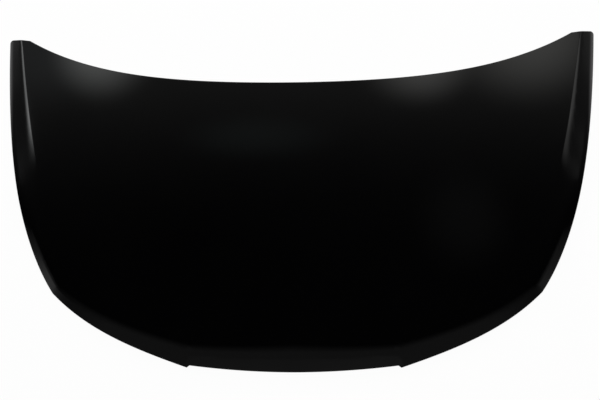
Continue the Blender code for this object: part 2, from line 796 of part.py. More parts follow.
def prop_hole():
    """Slot with round ends that takes the tip of the prop rod."""
    radius = PROP_HOLE_WIDTH / 2
    straight = PROP_HOLE_LENGTH - PROP_HOLE_WIDTH
    ring = []
    for end, start in ((1, 0.0), (-1, math.pi)):
        for k in range(HOLE_STEPS // 2 + 1):
            angle = start + math.pi * k / (HOLE_STEPS // 2)
            ring.append(Vector((PROP_SEAT.x + radius * math.cos(angle),
                                PROP_SEAT.y + end * straight / 2 + radius * math.sin(angle))))
    return ring


def beam_holes():
    """Drain and tooling holes along the middle of each beam's web, right half."""
    rear_xs = (REAR_HOLE_INNER, REAR_HOLE_MIDDLE, HINGE_X - REAR_HOLE_BY_HINGE)
    front_xs = (GRILLE_HALF - FRONT_HOLE_INBOARD, GRILLE_HALF + FRONT_HOLE_OUTBOARD)
    side_backs = (HINGE_BACK - SIDE_HOLE_FRONT, HINGE_BACK - SIDE_HOLE_REAR)
    edge = LAND_WIDTH + EDGE_WALL - WINDOW_FOOT
    nose = LAND_WIDTH + NOSE_WALL - WINDOW_FOOT
    rear = [(x, rear_beam_edge(x, (edge + REAR_BEAM) / 2)) for x in rear_xs]
    front = [(x, front_beam_edge(x, (nose + FRONT_BEAM) / 2)) for x in front_xs]
    side = [(side_beam_edge(y, (edge + SIDE_BEAM) / 2), y) for y in side_backs]
    return rear + front + side


def web_points(rings):
    """Loose points that let the web follow the skin, clear of every ring."""
    marks = [Vector((p.x, p.y)) for ring in rings for p in ring]
    points = []
    columns = int(HALF_WIDTH / WEB_STEP) + 1
    for i in range(-columns, columns + 1):
        for j in range(1, int(LENGTH / WEB_STEP) + 1):
            x, back = i * WEB_STEP, j * WEB_STEP
            place = Vector((x, back - MIDDLE))
            if all((place - mark).length > WEB_STEP * 0.3 for mark in marks):
                points.append((x, back))
    return points


def build_inner_panel(finish):
    outline = rim_ring(INNER_INSET, LAND)
    rings = [rim_ring(LAND_MIDDLE, LAND), rim_ring(LAND_WIDTH, LAND)]
    web_edge = []
    for station in RIM:
        kind, along, _ = station
        nose = smooth((CORNER_ALONG - NOSE_WALL - along) / NOSE_WALL_GROWS) if kind == "wing" else 0.0
        wall = EDGE_WALL + (NOSE_WALL - EDGE_WALL) * nose
        web_edge.append(rim_place(station, LAND_WIDTH + wall)[0])
    web_edge = on_web(web_edge)
    rings.append(web_edge)
    cuts = []
    for corners in WINDOWS.values():
        for flip in (False, True):
            edge, brow, foot = (rounded_ring(corners, WINDOW_RADIUS, grow)
                                for grow in (0.0, WINDOW_FLANGE, WINDOW_FOOT))
            if flip:
                edge, brow, foot = mirrored(edge), mirrored(brow), mirrored(foot)
            cuts.append(lifted(edge, FLANGE))
            rings.append(lifted(brow, FLANGE))
            rings.append(on_web(foot))
    for x, back, width, length, depth in SEATS.values():
        z = seat_height(x, back, depth)
        corners = box_corners(x, back, width, length)
        rings.append(level(rounded_ring(corners, SEAT_RADIUS, 0.0), z))
        rings.append(on_web(rounded_ring(corners, SEAT_RADIUS, SEAT_WALL)))
    for name, places in bolt_places().items():
        x, back, _, _, depth = SEATS[name]
        for place in places:
            cuts.append(level(circle(place.x, place.y, BOLT_HOLE), seat_height(x, back, depth)))
    cuts.append(level(prop_hole(), seat_height(PROP_SEAT.x, PROP_SEAT.y, PROP_SEAT_DEPTH)))
    for x, back in beam_holes():
        for side in (-1, 1):
            cuts.append(on_web(circle(side * x, back, BEAM_HOLE)))
    loose = []
    for x, back in web_points(rings + cuts):
        place = Vector((x, back - MIDDLE))
        if inside_ring(place, web_edge) and not in_a_seat(x, back):
            if not any(inside_ring(place, ring) for ring in window_feet()):
                loose += on_web([Vector((x, back))])
    bm, _ = sheet_from_rings(outline, rings, cuts, (), loose)
    return add_object("inner_panel", bm, finish, INNER)


def in_a_seat(x, back):
    for sx, sb, width, length, _ in SEATS.values():
        if abs(x - sx) < width / 2 + SEAT_WALL and abs(back - sb) < length / 2 + SEAT_WALL:
            return True
    return False


def window_feet():
    """Outer rings of the windows' walls, in the part's own plan coordinates."""
    feet = []
    for corners in WINDOWS.values():
        ring = rounded_ring(corners, WINDOW_RADIUS, WINDOW_FOOT)
        feet.append(level(ring, 0.0))
        feet.append(level(mirrored(ring), 0.0))
    return feet


# Reinforcing plates: flat pressings with a turned-up lip, lying in the seats

def build_plate(name, seat, thickness, lip, holes, finish):
    x, back, width, length, depth = SEATS[seat]
    top = seat_height(x, back, depth) + GAP + thickness
    rim = 2 * (PLATE_MARGIN + lip)
    corners = box_corners(x, back, width - rim, length - rim)
    base = level(rounded_ring(corners, SEAT_RADIUS / 2, 0.0), top)
    cuts = [level(hole, top) for hole in holes]
    if lip:
        outline = level(rounded_ring(corners, SEAT_RADIUS / 2, lip), top + lip)
        sheet, _ = sheet_from_rings(outline, [base], cuts)
    else:
        sheet, _ = sheet_from_rings(base, [], cuts)
    return add_object(name, sheet, finish, thickness)


# Weld nuts

def build_nut(name, place, foot, finish):
    """Hexagonal nut with a round flange, standing on a plate."""
    bm = bmesh.new()
    flat = NUT_FLATS / 2

    def ring(radius, z):
        verts = []
        for k in range(NUT_STEPS):
            angle = 2 * math.pi * k / NUT_STEPS
            reach = radius(angle) if callable(radius) else radius
            verts.append(bm.verts.new((place.x + reach * math.cos(angle),
                                       place.y - MIDDLE + reach * math.sin(angle), z)))
        return verts

    def hexagon(angle):
        return flat / math.cos((angle + math.pi / 6) % (math.pi / 3) - math.pi / 6)

    crown = foot + NUT_HEIGHT
    shoulder = foot + NUT_FLANGE_THICKNESS
    rings = [ring(NUT_BORE, foot), ring(NUT_FLANGE, foot), ring(NUT_FLANGE, shoulder),
             ring(hexagon, shoulder + NUT_CHAMFER), ring(hexagon, crown - NUT_CHAMFER),
             ring(flat - NUT_CHAMFER, crown), ring(NUT_BORE, crown)]
    for k in range(len(rings)):
        lower, upper = rings[k], rings[(k + 1) % len(rings)]
        for m in range(NUT_STEPS):
            n = (m + 1) % NUT_STEPS
            bm.faces.new((lower[m], lower[n], upper[n], upper[m]))
    bmesh.ops.recalc_face_normals(bm, faces=bm.faces)
    return add_object(name, bm, finish)


# Mastic pads between the window flanges and the skin

def mastic_places():
    """Middle and direction of each pad of the right half."""
    centre, lower, upper = (grown(WINDOWS[k], WINDOW_FLANGE / 2) for k in ("centre", "lower", "upper"))
    sides = [(centre[0], centre[1], 0.5), (centre[1], centre[2], 0.5), (centre[2], centre[3], 0.5),
             (centre[3], centre[0], 0.4), (lower[0], lower[1], 0.5), (lower[2], lower[0], 0.45),
             (upper[0], upper[2], 0.5), (upper[1], upper[2], 0.4)]
    return [(a.lerp(b, share), (b - a).normalized()) for a, b, share in sides]


def build_mastic(name, middle, along, finish):
    """Squashed pad whose faces follow the flange and the skin."""
    steps = 12
    aside = Vector((-along.y, along.x))
    low = FLANGE - GAP
    high = SKIN + MASTIC_CLEARANCE
    bm = bmesh.new()
    rings = []
    for depth, reach in ((low, 0.92), ((low + high) / 2, 1.0), (high, 0.88)):
        verts = []
        for k in range(steps):
            angle = 2 * math.pi * k / steps
            bulge = abs(math.cos(angle)) ** 0.7 * math.copysign(1, math.cos(angle))
            place = middle + along * reach * MASTIC_LENGTH / 2 * bulge
            place += aside * reach * MASTIC_WIDTH / 2 * math.sin(angle)
            verts.append(bm.verts.new(under_skin(place.x, place.y, depth)))
        rings.append(verts)
    for lower, upper in zip(rings, rings[1:]):
        for k in range(steps):
            m = (k + 1) % steps
            bm.faces.new((lower[k], lower[m], upper[m], upper[k]))
    for ring, depth in ((rings[0], low), (rings[-1], high)):
        hub = bm.verts.new(under_skin(middle.x, middle.y, depth))
        for k in range(steps):
            bm.faces.new((ring[k], ring[(k + 1) % steps], hub))
    bmesh.ops.recalc_face_normals(bm, faces=bm.faces)
    return add_object(name, bm, finish)


# The bonnet

for old in list(bpy.data.objects):
    bpy.data.objects.remove(old, do_unlink=True)

coat = material("black_primer", (0.012, 0.012, 0.013), 0.42, 0.0)
inner_coat = material("black_primer_inside", (0.014, 0.014, 0.015), 0.50, 0.0)
steel = material("plated_steel", (0.45, 0.43, 0.38), 0.40, 1.0)
putty = material("mastic", (0.045, 0.046, 0.050), 0.85, 0.0)

build_outer_panel(coat)
build_inner_panel(inner_coat)

BOLTS = bolt_places()
for side in ("left", "right"):
    seat = "hinge_" + side
    holes = [circle(p.x, p.y, BOLT_HOLE) for p in BOLTS[seat]]
    build_plate(f"hinge_plate_{side}", seat, HINGE_PLATE_THICKNESS, PLATE_LIP, holes, inner_coat)
    x, back, _, _, depth = SEATS[seat]
    foot = seat_height(x, back, depth) + HINGE_PLATE_THICKNESS + 2 * GAP
    for label, place in zip(("front", "rear"), BOLTS[seat]):
        build_nut(f"hinge_nut_{side}_{label}", place, foot, steel)

holes = [circle(p.x, p.y, BOLT_HOLE) for p in BOLTS["latch"]]
build_plate("latch_plate", "latch", LATCH_PLATE_THICKNESS, PLATE_LIP, holes, inner_coat)
foot = seat_height(0.0, LATCH_BACK, LATCH_SEAT_DEPTH) + LATCH_PLATE_THICKNESS + 2 * GAP
for label, place in zip(("left", "right"), BOLTS["latch"]):
    build_nut(f"latch_nut_{label}", place, foot, steel)

build_plate("prop_plate", "prop", PROP_PLATE_THICKNESS, 0.0, [prop_hole()], inner_coat)

for number, (middle, along) in enumerate(mastic_places(), 1):
    build_mastic(f"mastic_pad_right_{number}", middle, along, putty)
    build_mastic(f"mastic_pad_left_{number}", Vector((-middle.x, middle.y)),
                 Vector((-along.x, along.y)), putty)
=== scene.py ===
import bisect
import math

import bpy
import numpy as np
from mathutils import Matrix, Vector, geometry


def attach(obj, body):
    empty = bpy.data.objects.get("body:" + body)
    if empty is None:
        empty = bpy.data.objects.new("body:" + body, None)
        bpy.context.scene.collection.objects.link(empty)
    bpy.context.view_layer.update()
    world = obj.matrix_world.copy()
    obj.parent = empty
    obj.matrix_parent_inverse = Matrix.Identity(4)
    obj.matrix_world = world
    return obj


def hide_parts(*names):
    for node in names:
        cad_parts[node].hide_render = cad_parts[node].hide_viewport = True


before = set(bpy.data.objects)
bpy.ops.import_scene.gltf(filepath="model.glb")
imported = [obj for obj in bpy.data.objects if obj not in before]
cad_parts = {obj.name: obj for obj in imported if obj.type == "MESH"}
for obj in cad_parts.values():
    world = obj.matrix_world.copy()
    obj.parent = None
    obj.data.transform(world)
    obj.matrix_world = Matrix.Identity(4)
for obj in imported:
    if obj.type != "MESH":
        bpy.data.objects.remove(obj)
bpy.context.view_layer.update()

scene = bpy.context.scene
scene.view_settings.view_transform = "Standard"


# The floor is a plain white studio sweep that the bonnet lies on. It shows as white to the
# camera and in gloss, and keeps a faint share of the bonnet's own soft shadow.

FLOOR_REACH = 30
PAPER_TONE = 0.86
WHITE_SHARE = 0.97             # of what is seen of the floor, the rest is lit paper


def math_step(tree, operation, first, second):
    """Result of a Math node over a socket and a second socket or number."""
    step = tree.nodes.new("ShaderNodeMath")
    step.operation = operation
    tree.links.new(first, step.inputs[0])
    if isinstance(second, bpy.types.NodeSocket):
        tree.links.new(second, step.inputs[1])
    else:
        step.inputs[1].default_value = second
    return step.outputs[0]


floor_mesh = bpy.data.meshes.new("floor")
floor_corners = [(x * FLOOR_REACH, y * FLOOR_REACH, 0) for x, y in ((-1, -1), (1, -1), (1, 1), (-1, 1))]
floor_mesh.from_pydata(floor_corners, [], [(0, 1, 2, 3)])
floor = bpy.data.objects.new("floor", floor_mesh)
scene.collection.objects.link(floor)

sweep = bpy.data.materials.new("studio_floor")
sweep.use_nodes = True
tree = sweep.node_tree
tree.nodes.remove(tree.nodes["Principled BSDF"])
paper = tree.nodes.new("ShaderNodeBsdfDiffuse")
paper.inputs["Color"].default_value = (PAPER_TONE, PAPER_TONE, PAPER_TONE, 1)
white = tree.nodes.new("ShaderNodeEmission")
ray = tree.nodes.new("ShaderNodeLightPath").outputs
seen = math_step(tree, "MAXIMUM", ray["Is Camera Ray"], ray["Is Glossy Ray"])
seen = math_step(tree, "MAXIMUM", seen, ray["Is Transmission Ray"])
blend = tree.nodes.new("ShaderNodeMixShader")
tree.links.new(math_step(tree, "MULTIPLY", seen, WHITE_SHARE), blend.inputs["Fac"])
tree.links.new(paper.outputs["BSDF"], blend.inputs[1])
tree.links.new(white.outputs["Emission"], blend.inputs[2])
tree.links.new(blend.outputs["Shader"], tree.nodes["Material Output"].inputs["Surface"])
floor_mesh.materials.append(sweep)


# The light is a studio with a dark ceiling and paler walls, as the tones on the skin show. Soft
# patches in it stand for the light boxes that the skin and its creases mirror. A long box low at
# the back gives most of the light, and little of it shows in the gloss.

CEILING = (0.008, 0.008, 0.0085)
WALLS = (
    # axis, where the glow starts and is full, level, curve, tint
    ("Y", 0.0, 0.45, 0.14, 2.6, (1.0, 1.0, 0.98)),     # ceiling towards the back
    ("Y", -0.25, -0.62, 0.11, 1.3, (1.0, 1.0, 1.0)),   # ceiling towards the front
    ("Y", -0.78, -0.95, 0.22, 1.0, (1.0, 1.0, 1.0)),   # foot of the front wall
    ("X", -0.88, -0.97, 0.16, 1.0, (1.0, 1.0, 1.0)),   # left wall
    ("X", 0.84, 0.95, 0.14, 1.0, (1.0, 1.0, 1.0)),     # right wall
    ("Z", 0.26, 0.0, 0.70, 1.5, (1.0, 1.0, 1.0)),      # horizon all round
)
PATCHES = (
    # x and y of the direction, reach in x and y, tilt in degrees, core, level, tint
    (-0.743, 0.40, 0.080, 0.165, -22, 0.45, 2.10, (0.98, 1.0, 1.0)),   # strip in the left crease
    (-0.730, 0.345, 0.05, 0.06, 0, 0.0, 1.30, (0.98, 1.0, 1.0)),       # its bright forward end
    (-0.46, 0.50, 0.16, 0.13, 0, 0.0, 1.45, (0.97, 1.0, 0.98)),        # behind the left half
    (-0.60, 0.50, 0.18, 0.16, 0, 0.0, 0.12, (0.90, 1.0, 1.05)),        # towards the left ear
    (0.19, 0.47, 0.15, 0.11, 0, 0.0, 0.95, (1.0, 1.0, 0.97)),          # behind the right half
    (0.45, 0.53, 0.28, 0.18, 0, 0.0, 0.82, (1.0, 1.0, 0.96)),          # towards the right ear
    (0.700, 0.41, 0.085, 0.13, 15, 0.40, 0.72, (1.0, 1.0, 0.98)),      # strip in the right crease
    (0.654, 0.300, 0.040, 0.08, 38, 0.20, 0.55, (1.0, 1.0, 0.98)),     # its forward end
    (-0.99, 0.42, 0.14, 0.30, 0, 0.30, 1.60, (1.0, 1.0, 1.0)),         # rim of the left ear
    (0.95, 0.41, 0.14, 0.30, 0, 0.30, 1.40, (1.0, 1.0, 1.0)),          # rim of the right ear
    (-0.13, 0.31, 0.20, 0.07, 0, 0.0, 0.07, (0.80, 1.0, 1.0)),         # haze on the middle
    (0.30, 0.12, 0.16, 0.16, 0, 0.0, 0.04, (1.0, 1.0, 1.0)),           # haze ahead on the right
)
BOX_WIDTH, BOX_HEIGHT = 5.4, 1.0
BOX_PLACE = Vector((0, 3.2, 1.65))
BOX_AIM = Vector((0, 0, 0.05))
BOX_POWERS = (("back_box", 27, True), ("fill_box", 183, False))        # watts, and seen in gloss or not

world = bpy.data.worlds.new("studio")
scene.world = world
world.use_nodes = True
sky = world.node_tree
direction = sky.nodes.new("ShaderNodeTexCoord").outputs["Generated"]
along_axis = sky.nodes.new("ShaderNodeSeparateXYZ")
sky.links.new(direction, along_axis.inputs[0])


def vector_step(operation, first, second):
    """Node of the sky that works on the vector first with the plain vector second."""
    step = sky.nodes.new("ShaderNodeVectorMath")
    step.operation = operation
    sky.links.new(first, step.inputs[0])
    if second is not None:
        step.inputs[1].default_value = second
    return step


def wall_share(axis, start, end, curve):
    """0 to 1 as the direction's share along an axis goes from start to end."""
    rise = sky.nodes.new("ShaderNodeMapRange")
    rise.inputs["From Min"].default_value = start
    rise.inputs["From Max"].default_value = end
    sky.links.new(along_axis.outputs[axis], rise.inputs["Value"])
    return math_step(sky, "POWER", rise.outputs["Result"], curve)


def patch_share(x, y, reach_x, reach_y, tilt, core):
    """1 in the core of an oval patch round a direction, fading to 0 at its reach."""
    offset = vector_step("SUBTRACT", direction, (x, y, 0))
    tilted = sky.nodes.new("ShaderNodeVectorRotate")
    tilted.rotation_type = "Z_AXIS"
    tilted.inputs["Angle"].default_value = math.radians(tilt)
    sky.links.new(offset.outputs[0], tilted.inputs["Vector"])
    spread_out = vector_step("MULTIPLY", tilted.outputs[0], (1 / reach_x, 1 / reach_y, 0))
    far = vector_step("LENGTH", spread_out.outputs[0], None)
    fade = sky.nodes.new("ShaderNodeMapRange")
    fade.interpolation_type = "SMOOTHERSTEP"
    fade.inputs["From Min"].default_value = core
    fade.inputs["To Min"].default_value = 1.0
    fade.inputs["To Max"].default_value = 0.0
    sky.links.new(far.outputs["Value"], fade.inputs["Value"])
    return fade.outputs["Result"]


def with_glow(glow, share, brightness, tint):
    """The sky's colour so far plus a tinted glow, scaled by a share."""
    scaled = sky.nodes.new("ShaderNodeVectorMath")
    scaled.operation = "SCALE"
    scaled.inputs[0].default_value = [brightness * v for v in tint]
    sky.links.new(share, scaled.inputs["Scale"])
    total = vector_step("ADD", glow, None)
    sky.links.new(scaled.outputs[0], total.inputs[1])
    return total.outputs[0]


ceiling = sky.nodes.new("ShaderNodeCombineColor")
for socket, tone in zip(ceiling.inputs, CEILING):
    socket.default_value = tone
glow = ceiling.outputs[0]
for axis, start, end, brightness, curve, tint in WALLS:
    glow = with_glow(glow, wall_share(axis, start, end, curve), brightness, tint)
for x, y, reach_x, reach_y, tilt, core, brightness, tint in PATCHES:
    glow = with_glow(glow, patch_share(x, y, reach_x, reach_y, tilt, core), brightness, tint)
sky.links.new(glow, sky.nodes["Background"].inputs["Color"])

for name, power, in_gloss in BOX_POWERS:
    lamp = bpy.data.lights.new(name, "AREA")
    lamp.shape = "RECTANGLE"
    lamp.size, lamp.size_y = BOX_WIDTH, BOX_HEIGHT
    lamp.energy = power
    box = bpy.data.objects.new(name, lamp)
    box.location = BOX_PLACE
    box.rotation_euler = (BOX_AIM - BOX_PLACE).to_track_quat("-Z", "Y").to_euler()
    box.visible_glossy = in_gloss
    scene.collection.objects.link(box)


# The camera stands in front of the nose and well above it, turned a little to the right and
# slightly rolled, as the outline in the photograph says.

AZIMUTH = math.radians(8.6965)
ELEVATION = math.radians(69.9327)
ROLL = math.radians(-8.6084)
AIM = Vector((0.0127, -0.03038, 0.050))
DISTANCE = 2.28687
FOCAL_PX = 1022.41             # focal length in pixels of the photograph
PHOTO_WIDTH_PX = 600
SENSOR_MM = 36.0

backwards = Vector((math.sin(AZIMUTH) * math.cos(ELEVATION),
                    -math.cos(AZIMUTH) * math.cos(ELEVATION), math.sin(ELEVATION)))
level = Vector((math.cos(AZIMUTH), math.sin(AZIMUTH), 0))
upwards = backwards.cross(level)
right = level * math.cos(ROLL) + upwards * math.sin(ROLL)
up = -level * math.sin(ROLL) + upwards * math.cos(ROLL)
camera = bpy.data.objects.new("camera", bpy.data.cameras.new("camera"))
camera.data.sensor_fit = "HORIZONTAL"
camera.data.sensor_width = SENSOR_MM
camera.data.lens = FOCAL_PX * SENSOR_MM / PHOTO_WIDTH_PX
camera.matrix_world = (Matrix.Translation(AIM + backwards * DISTANCE)
                       @ Matrix((right, up, backwards)).transposed().to_4x4())
scene.collection.objects.link(camera)
scene.camera = camera


# The outer panel is the bonnet's skin, one pressing of 0.7 mm steel with its edge folded back all
# round as a hem, in satin black primer whose black is set deeper than the primer's own, as painted
# shade. It has the solid's plan line, arch and rolled nose, and in a finer mesh the sharp crease
# and the softly rounded side edge that the pressing leaves.

# Plan line of the right half, in places across and behind the middle of the nose edge
HALF_WIDTH = 0.710             # centre line to the outer edge of an ear tip
LENGTH = 0.8204                # nose edge to the ear tips
REAR_CENTRE = 0.6513           # nose edge to the middle of the rear edge
REAR_SWEEP = 0.0907            # gentle share of the rear edge's sweep back, at full half width
REAR_HOOK = 0.1093             # share of that sweep that gathers towards the ears
EAR_TIP = 0.0596               # width of the blunt end of an ear
EAR_ROUND = 0.007              # radius on the outer corner of an ear
LEAST_ROUND = 0.0008           # radius that is left of it on the rings further in
GRILLE_HALF = 0.2326           # half width of the grille edge
GRILLE_SWEEP = 0.0155          # how far the grille edge runs back at its ends
TAB_STEP = 0.0049              # step from the grille edge out to the headlamp edge
TAB_RUN = 0.006                # length over which it steps out
LAMP_LEAN_TAB = math.radians(18.7)       # headlamp line against straight across, at the step
LAMP_PULL_TAB = 0.1221
LAMP_LEAN_CORNER = math.radians(44.6)    # and at the corner
LAMP_PULL_CORNER = 0.1205
SIDE_LEAN_CORNER = math.radians(35.6)    # wing line against straight back, at the corner
SIDE_PULL_CORNER = 0.1803
SIDE_LEAN_EAR = math.radians(5.8)        # and at the ear
SIDE_PULL_EAR = 0.2204
CORNER = Vector((0.5439, 0.1773))        # where the headlamp line meets the wing line
EAR = Vector((HALF_WIDTH, LENGTH))
TAB = Vector((GRILLE_HALF, GRILLE_SWEEP - TAB_STEP))
EAR_INNER = HALF_WIDTH - EAR_TIP
MIDDLE = LENGTH / 2
GRILLE_POINTS, LAMP_POINTS, SIDE_POINTS, REAR_POINTS = 17, 41, 61, 61
OUTWARD_STEP = 0.002           # half the run over which the line's direction is measured


def crossing(lean, length):
    """Step of a given length that leans back from straight across."""
    return Vector((math.cos(lean), math.sin(lean))) * length


def heading(lean, length):
    """Step of a given length that leans out from straight back."""
    return Vector((math.sin(lean), math.cos(lean))) * length


def bezier(points, count):
    a, b, c, d = (np.array(p) for p in points)
    t = np.linspace(0, 1, count)[:, None]
    return (1 - t) ** 3 * a + 3 * (1 - t) ** 2 * t * b + 3 * (1 - t) * t * t * c + t ** 3 * d


def rear_back(x):
    s = (np.minimum(x, EAR_INNER) / HALF_WIDTH) ** 2
    back = REAR_CENTRE + REAR_SWEEP * s + REAR_HOOK * s * s
    return np.where(x > EAR_INNER, back + (LENGTH - back) * (x - EAR_INNER) / EAR_TIP, back)


class Path:
    """Plan line that is measured along its length."""

    def __init__(self, points):
        self.points = points
        self.marks = np.concatenate([[0], np.cumsum(np.hypot(*np.diff(points, axis=0).T))])
        self.length = float(self.marks[-1])

    def at(self, along):
        k = min(max(bisect.bisect_right(self.marks, along) - 1, 0), len(self.points) - 2)
        t = (along - self.marks[k]) / (self.marks[k + 1] - self.marks[k])
        return Vector(self.points[k] * (1 - t) + self.points[k + 1] * t)

    def outward(self, along):
        step = self.at(along + OUTWARD_STEP) - self.at(along - OUTWARD_STEP)
        return Vector((step.y, -step.x)).normalized()


grille_share = np.linspace(0, 1, GRILLE_POINTS)
grille_line = np.stack([GRILLE_HALF * grille_share, GRILLE_SWEEP * grille_share ** 2 - TAB_STEP], 1)
lamp_line = bezier((TAB, TAB + crossing(LAMP_LEAN_TAB, LAMP_PULL_TAB),
                    CORNER - crossing(LAMP_LEAN_CORNER, LAMP_PULL_CORNER), CORNER), LAMP_POINTS)
side_line = bezier((CORNER, CORNER + heading(SIDE_LEAN_CORNER, SIDE_PULL_CORNER),
                    EAR - heading(SIDE_LEAN_EAR, SIDE_PULL_EAR), EAR), SIDE_POINTS)
rear_x = EAR_INNER * (1 - np.linspace(0, 1, REAR_POINTS))
wing_line = np.vstack([grille_line, lamp_line[1:], side_line[1:]])
rear_line = np.vstack([[tuple(EAR)], np.stack([rear_x, rear_back(rear_x)], 1)])
wing = Path(wing_line)                   # middle of the nose to the ear
tail = Path(rear_line)                   # ear to the middle of the rear edge
tab_along = float(wing.marks[GRILLE_POINTS - 1])
corner_along = float(wing.marks[GRILLE_POINTS + LAMP_POINTS - 2])
ear_inner_along = float(tail.marks[1])
ear_turn = math.acos(wing.outward(wing.length - EAR_ROUND).dot(tail.outward(EAR_ROUND)))
ear_mitre = math.tan(ear_turn / 2)       # how far an ear corner moves along each edge per inset


def side_x(back):
    return np.interp(back, side_line[:, 1], side_line[:, 0])


def nearest_edge(x, back):
    """Distance of each place to the front and side line, and the nearest point's x and back."""
    start, step = wing_line[:-1], np.diff(wing_line, axis=0)
    here = np.stack([x, back], -1)[:, None, :]
    share = np.clip(((here - start) * step).sum(-1) / (step ** 2).sum(-1), 0, 1)
    feet = start + step * share[..., None]
    gap = np.hypot(*np.moveaxis(feet - here, -1, 0))
    best = gap.argmin(1)
    rows = np.arange(len(best))
    return gap[rows, best], feet[rows, best, 0], feet[rows, best, 1]


# Height of the outer face over the plan
REAR_HEIGHT = 0.0961           # body surface over the corner level, middle of the rear edge
REAR_SLOPE = 0.0065            # rise per metre run towards the windscreen there
FORE_AFT_RADIUS = 3.33
CROWN_FALL = 0.0532            # even part of the fall from the middle to full half width
SHOULDER_FALL = 0.0243         # part of that fall that gathers towards the sides
NOSE_ROLL = 0.066              # width of the rolled nose on the centre line
NOSE_DROP = 0.0212
CORNER_ROLL = 0.032            # width of the roll at the corner
CORNER_DROP = 0.0138
ROLL_SOFT = 0.5                # share of the roll that its bend takes
SIDE_ROLL = 0.260              # distance behind the corner at which its roll has died out
FLANK_AT_EAR = 0.037           # width of the flank between the crease and the edge
FLANK_SPREAD = 0.055           # how much it widens towards the corner
FLANK_BEND = 0.018             # and how much of that is taken off again there
FLANK_DROP = 0.0100            # how far the flank falls away below the body surface
FLANK_STARTS = 0.270           # behind the nose edge, where it begins to fall
FLANK_FULL = 0.720             # and where it has its full fall
CREASE_SOFT = 0.05             # share of the flank that the crease's sharp turn takes
CREASE_TURN = 0.38             # share of the fall that comes with that turn, at the ear
CREASE_TURN_AHEAD = 0.35       # what is added to it where the crease dies out ahead
FLANK_ROLL = 0.24              # share of the flank that the rest of the bend takes, at the ear
FLANK_ROLL_AHEAD = 0.22        # what is added to it ahead
EDGE_DROP = 0.0008             # how far the side edge is rounded down
EDGE_WIDTH = 0.012             # width of that rounding
EDGE_RUN_IN = 0.25             # behind the corner, over which it grows to its full depth
SLOPE_STEP = 0.0005            # half the run over which a slope of the skin is measured


def smooth(t):
    t = np.clip(t, 0.0, 1.0)
    return t * t * (3 - 2 * t)


def ramp(t, soft):
    """0 to 1 with a rounded start that takes the share soft, then a straight run."""
    t = np.clip(t, 0.0, 1.0)
    return np.where(t < soft, t * t / (2 * soft), t - soft / 2) / (1 - soft / 2)


def flank_width(back):
    ahead = (LENGTH - back) / (LENGTH - CORNER.y)
    return FLANK_AT_EAR + FLANK_SPREAD * ahead - FLANK_BEND * ahead * ahead


def flank_fall(x, back, away, edge_drop):
    """Fall of the flank from the crease on, with what the rounding of the side edge adds."""
    share = np.clip((x - side_x(back) + flank_width(back)) / flank_width(back), 0.0, 1.0)
    growth = smooth((back - FLANK_STARTS) / (FLANK_FULL - FLANK_STARTS))
    turn = CREASE_TURN + CREASE_TURN_AHEAD * (1 - growth)
    roll = FLANK_ROLL + FLANK_ROLL_AHEAD * (1 - growth)
    turned = turn * ramp(share, CREASE_SOFT) + (1 - turn) * ramp(share, roll)
    edge = edge_drop * smooth((back - CORNER.y) / EDGE_RUN_IN)
    return (FLANK_DROP * growth - edge) * turned + edge * np.clip(1 - away / EDGE_WIDTH, 0.0, 1.0) ** 2


def height(x, back, edge_drop=EDGE_DROP):
    """Height of the outer face; the hem's leg follows it without the rounding of the side edge."""
    x = np.abs(x)
    s, d = (x / HALF_WIDTH) ** 2, back - REAR_CENTRE
    fore_aft = REAR_HEIGHT + REAR_SLOPE * d - d * d / (2 * FORE_AFT_RADIUS)
    body = fore_aft - CROWN_FALL * s - SHOULDER_FALL * s * s
    away, foot_x, foot_back = nearest_edge(x, back)
    outboard = np.minimum(foot_x / CORNER.x, 1.0)
    width = NOSE_ROLL + (CORNER_ROLL - NOSE_ROLL) * outboard
    drop = NOSE_DROP + (CORNER_DROP - NOSE_DROP) * outboard
    drop = drop * (1 - smooth((foot_back - CORNER.y) / SIDE_ROLL))
    return body - flank_fall(x, back, away, edge_drop) - drop * ramp(1 - away / width, ROLL_SOFT)


def on_face(places, edge_drop=EDGE_DROP):
    """Points and normals of the skin's outer face over an array of plan places."""
    x, back = np.asarray(places, float).reshape(-1, 2).T
    run = 2 * SLOPE_STEP
    slope_x = (height(x + SLOPE_STEP, back, edge_drop) - height(x - SLOPE_STEP, back, edge_drop)) / run
    slope_y = (height(x, back + SLOPE_STEP, edge_drop) - height(x, back - SLOPE_STEP, edge_drop)) / run
    normals = np.stack([-slope_x, -slope_y, np.ones_like(x)], 1)
    normals /= np.linalg.norm(normals, axis=1)[:, None]
    return np.stack([x, back - MIDDLE, height(x, back, edge_drop)], 1), normals


# Stations round the rim, shared by the rings of the skin and its hem
RIM_STEP = 0.007
TAB_STEPS = 3
EAR_STEPS = 6
EAR_CLEAR = 1.5 * EAR_ROUND    # from the ear's corner to the ends of its round


def spread(start, end, spacing):
    count = max(1, round((end - start) / spacing))
    return [start + (end - start) * k / count for k in range(count)]


def half_stations():
    """Stations of the right half, from the middle of the nose to the middle of the rear edge."""
    front = spread(0.0, tab_along - TAB_RUN, RIM_STEP) + [tab_along - TAB_RUN]
    front += spread(tab_along - TAB_RUN, tab_along, TAB_RUN / TAB_STEPS)[1:]
    front += spread(tab_along, corner_along, RIM_STEP)
    front += spread(corner_along, wing.length - EAR_CLEAR, RIM_STEP) + [wing.length - EAR_CLEAR]
    rear = spread(EAR_CLEAR, ear_inner_along, RIM_STEP)
    rear += spread(ear_inner_along, tail.length, RIM_STEP) + [tail.length]
    arc = [("round", k / EAR_STEPS) for k in range(EAR_STEPS + 1)]
    return [("wing", along) for along in front] + arc + [("tail", along) for along in rear]


